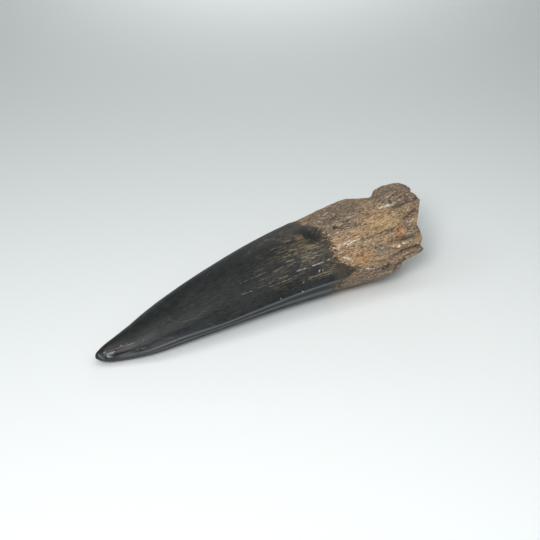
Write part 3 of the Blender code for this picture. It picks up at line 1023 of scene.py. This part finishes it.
def addWobble(tree, place, amount, size):
    # the place, pushed about by noise so that what is drawn there gets uneven edges
    pattern = tree.nodes.new("ShaderNodeTexNoise")
    feed(tree, pattern.inputs["Vector"], place)
    pattern.inputs["Scale"].default_value = 1.0 / size
    pattern.inputs["Detail"].default_value = 3.0
    centred = addVectorMath(tree, "SUBTRACT", pattern.outputs["Color"], (0.5, 0.5, 0.5))
    moved = addVectorMath(tree, "MULTIPLY", centred, (amount * 2.0, amount, amount))
    return addVectorMath(tree, "ADD", place, moved)


def makeEnamelColour(tree, place, ragged, wobbly, wear):
    look, colours = toothFinish["enamel"], toothFinish["colours"]
    split = tree.nodes.new("ShaderNodeSeparateXYZ")
    feed(tree, split.inputs[0], place)
    along, _, upward = split.outputs
    slightly = addWobble(tree, place, *toothFinish["slight"])
    smoke = addMath(tree, "MULTIPLY", addPattern(tree, place, "smoke"), look["smokeShare"])
    hairs = addMath(tree, "MULTIPLY", addPattern(tree, place, "hairs"), 1 - look["smokeShare"])
    cloud = addRange(tree, addMath(tree, "ADD", smoke, hairs), *look["smoky"])
    colour = addMix(tree, cloud, colours["black"], colours["smoky"])
    # painted reflection of the pale floor: the enamel below the keel is made lighter and bluer
    colour = addMix(tree, addRange(tree, upward, *look["paintedReflectionBelowKeel"]), colour, colours["paintedReflectionBelowKeel"])
    colour = addMix(tree, addRange(tree, upward, *look["deepShade"]), colour, colours["deepShade"])
    zone = addRange(tree, along, *look["dashReach"])
    zone = addMath(tree, "MULTIPLY", zone, addRange(tree, upward, *look["dashHeights"]))
    stained = addPattern(tree, place, "stained")
    inStain = addMath(tree, "MULTIPLY", addRange(tree, stained, *look["goldStained"]), zone)
    colour = addMix(tree, inStain, colour, colours["gold"])
    patchy = addMath(tree, "MULTIPLY", zone, addRange(tree, stained, *look["patchy"]))
    upperSide = addRange(tree, upward, *look["upperSide"])
    for name, where in (("greyDashes", upperSide), ("dashes", patchy), ("fineDashes", patchy)):
        colour = addStreaks(tree, slightly, colour, where, look[name])
    colour = addPatches(tree, ragged, colour, look["patches"])
    return addStrokes(tree, wobbly, wear, colour, look["strokes"])


def makeRootColour(tree, place, ragged, wobbly, wear, grain):
    look, colours = toothFinish["root"], toothFinish["colours"]
    broad = addPattern(tree, place, "broad")
    colour = addMix(tree, addRange(tree, broad, *look["greyBrown"]), colours["brown"], colours["greyBrown"])
    hue = addPattern(tree, place, "hue")
    colour = addMix(tree, addRange(tree, hue, *look["pink"]), colour, colours["pink"])
    colour = addMix(tree, addRange(tree, hue, *look["olive"]), colour, colours["olive"])
    streaky = addPattern(tree, place, "streaky")
    colour = addMix(tree, addRange(tree, streaky, *look["golden"]), colour, colours["golden"])
    colour = addPatches(tree, ragged, colour, look["patches"])
    colour = addMix(tree, addRange(tree, streaky, *look["darkStreaks"]), colour, colours["dark"])
    colour = addStreaks(tree, wobbly, colour, 1.0, look["slits"])
    coarse = addPattern(tree, place, "coarse")
    pits = addRange(tree, coarse, *look["pitsWhereCoarse"])
    pits = addMath(tree, "MULTIPLY", addRange(tree, grain, *look["pits"]), pits)
    colour = addMix(tree, pits, colour, colours["dark"])
    glints = addRange(tree, coarse, *look["glintsWhereCoarse"])
    glints = addMath(tree, "MULTIPLY", addRange(tree, grain, *look["glints"]), glints)
    colour = addMix(tree, glints, colour, colours["light"])
    pale = 0.0
    for *oval, strength in look["paleFields"]:
        field = addMath(tree, "MULTIPLY", addPatchAt(tree, ragged, *oval), strength)
        pale = addMath(tree, "MAXIMUM", pale, field)
    crystals = addMath(tree, "MULTIPLY", addRange(tree, grain, *look["crystals"]), pale)
    colour = addMix(tree, crystals, colour, colours["light"])
    return addStrokes(tree, wobbly, wear, colour, look["strokes"])


def makeToothMaterial():
    finish, colours, margin = toothFinish, toothFinish["colours"], toothFinish["margin"]
    material = bpy.data.materials.new("fossilTooth")
    material.use_nodes = True
    tree = material.node_tree
    shader = tree.nodes["Principled BSDF"]
    place = readMask(tree, "unrolled", "Vector")
    pastMargin, crack = readMask(tree, "pastMargin"), readMask(tree, "crack")
    fibre, broken, crest = readMask(tree, "fibre"), readMask(tree, "broken"), readMask(tree, "crest")
    ragged = addWobble(tree, place, *finish["ragged"])
    wobbly = addWobble(tree, place, *finish["wobbly"])
    wear = addRange(tree, addPattern(tree, place, "worn"), *finish["wornAway"])
    grain = 0.0
    for name, share in finish["grain"].items():
        grain = addMath(tree, "MULTIPLY_ADD", addPattern(tree, place, name), share, grain)

    enamel = makeEnamelColour(tree, place, ragged, wobbly, wear)
    # painted highlight along the keel crests and along the blunter edge below the near keel
    onCrestHighlight = addMath(tree, "MULTIPLY", crest, finish["enamel"]["crestHighlightStrength"])
    enamel = addMix(tree, onCrestHighlight, enamel, colours["paintedCrestHighlight"])
    root = makeRootColour(tree, place, ragged, wobbly, wear, grain)
    root = addMix(tree, addRange(tree, fibre, *finish["root"]["fibreShade"]), root, colours["dark"])
    onBreak = addMath(tree, "MULTIPLY", broken, finish["root"]["brokenStrength"])
    root = addMix(tree, onBreak, root, colours["brokenBrown"])
    inCrack = addMath(tree, "MULTIPLY", crack, finish["root"]["crackStrength"])
    root = addMix(tree, inCrack, root, colours["dark"])

    past = addMath(tree, "ADD", pastMargin, margin["shift"])
    past = addMath(tree, "MULTIPLY_ADD", addPattern(tree, place, "fray"), margin["frayed"], past)
    past = addMath(tree, "MULTIPLY_ADD", addPattern(tree, place, "lobes"), margin["lobed"], past)
    specks = addRange(tree, grain, *margin["speckGrains"])
    specks = addMath(tree, "MULTIPLY", addRange(tree, past, *margin["specks"]), specks)
    enamel = addMix(tree, specks, enamel, colours["speck"])
    enamel = addMix(tree, addRange(tree, past, *margin["thinned"]), enamel, colours["marginBrown"])
    onRoot = addRange(tree, past, *margin["bone"])
    feed(tree, shader.inputs["Base Color"], addMix(tree, onRoot, enamel, root))

    smudge = addPattern(tree, place, "smudge")
    roughness = tree.nodes.new("ShaderNodeMix")
    feed(tree, roughness.inputs[0], onRoot)
    feed(tree, roughness.inputs[2], addRange(tree, smudge, *finish["enamel"]["roughness"]))
    feed(tree, roughness.inputs[3], addRange(tree, smudge, *finish["root"]["roughness"]))
    feed(tree, shader.inputs["Roughness"], roughness.outputs[0])

    lift = addMath(tree, "MULTIPLY", grain, onRoot)
    lift = addMath(tree, "MULTIPLY_ADD", addPattern(tree, place, "polish"), finish["polishDepth"], lift)
    bump = tree.nodes.new("ShaderNodeBump")
    bump.inputs["Strength"].default_value = 1.0
    bump.inputs["Distance"].default_value = finish["grainDepth"] * mm
    feed(tree, bump.inputs["Height"], lift)
    feed(tree, shader.inputs["Normal"], bump.outputs[0])
    shader.inputs["IOR"].default_value = finish["ior"]
    return material


tooth.data.materials.append(makeToothMaterial())
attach(tooth, "root")
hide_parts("tooth")
print("tooth finished")


# the floor and the light, in metres
studio = {
    "floorSize": 6.0,
    "floorColour": (0.87, 0.885, 0.88, 1),
    "floorRoughness": 0.9,
    "skyColour": (0.80, 0.975, 1.0, 1),
    "skyStrength": 0.166,
    # place, what it points at, size, power
    "lamps": {
        "front": ((-0.236, -0.236, 0.301), (0.0, 0.0, 0.0), 0.15, 1.185),
        "overFront": ((0.0, -0.10, 0.20), (0.0, -0.10, 0.0), 0.30, 0.277),
        "behind": ((-0.20, 0.10, 0.25), (-0.20, 0.10, 0.0), 0.12, 0.108),
        "farBack": ((0.18, 0.30, 0.15), (0.18, 0.30, 0.0), 0.15, 0.212),
    },
}


def makeFloor():
    bpy.ops.mesh.primitive_plane_add(size=studio["floorSize"])
    floor = bpy.context.object
    floor.name = "floor"
    material = bpy.data.materials.new("paleFloor")
    material.use_nodes = True
    shader = material.node_tree.nodes["Principled BSDF"]
    shader.inputs["Base Color"].default_value = studio["floorColour"]
    shader.inputs["Roughness"].default_value = studio["floorRoughness"]
    floor.data.materials.append(material)


def makeLights():
    world = bpy.data.worlds.new("studio")
    bpy.context.scene.world = world
    world.use_nodes = True
    sky = world.node_tree.nodes["Background"]
    sky.inputs["Color"].default_value = studio["skyColour"]
    sky.inputs["Strength"].default_value = studio["skyStrength"]
    for name, (place, target, size, power) in studio["lamps"].items():
        lamp = bpy.data.lights.new(name, "AREA")
        lamp.shape = "SQUARE"
        lamp.size = size
        lamp.energy = power
        holder = bpy.data.objects.new(name, lamp)
        bpy.context.scene.collection.objects.link(holder)
        holder.location = place
        holder.rotation_euler = (Vector(target) - Vector(place)).to_track_quat("-Z", "Y").to_euler()
        holder.visible_camera = False


cameraView = {
    "turn": 31.5,  # degrees from straight in front, towards the tip
    "height": 33.0,  # degrees above the horizon
    "distance": 0.301,
    "aim": (0.00412, -0.00068, 0.00835),
    "aimRight": -0.00186,
    "aimUp": 0.0016,
    "lens": 70.0,
    "sensor": 36.0,
}


def makeCamera():
    turn, height = math.radians(cameraView["turn"]), math.radians(cameraView["height"])
    right = Vector((math.cos(turn), -math.sin(turn), 0.0))
    flat = Vector((-math.sin(turn), -math.cos(turn), 0.0)) * math.cos(height)
    back = flat + Vector((0.0, 0.0, math.sin(height)))
    aim = Vector(cameraView["aim"]) + right * cameraView["aimRight"]
    aim += back.cross(right) * cameraView["aimUp"]
    data = bpy.data.cameras.new("camera")
    data.lens = cameraView["lens"]
    data.sensor_width = cameraView["sensor"]
    camera = bpy.data.objects.new("camera", data)
    bpy.context.scene.collection.objects.link(camera)
    camera.location = aim + back * cameraView["distance"]
    camera.rotation_euler = (-back).to_track_quat("-Z", "Y").to_euler()
    bpy.context.scene.camera = camera


makeFloor()
makeLights()
makeCamera()
bpy.context.scene.view_settings.view_transform = "Standard"
print("studio ready")
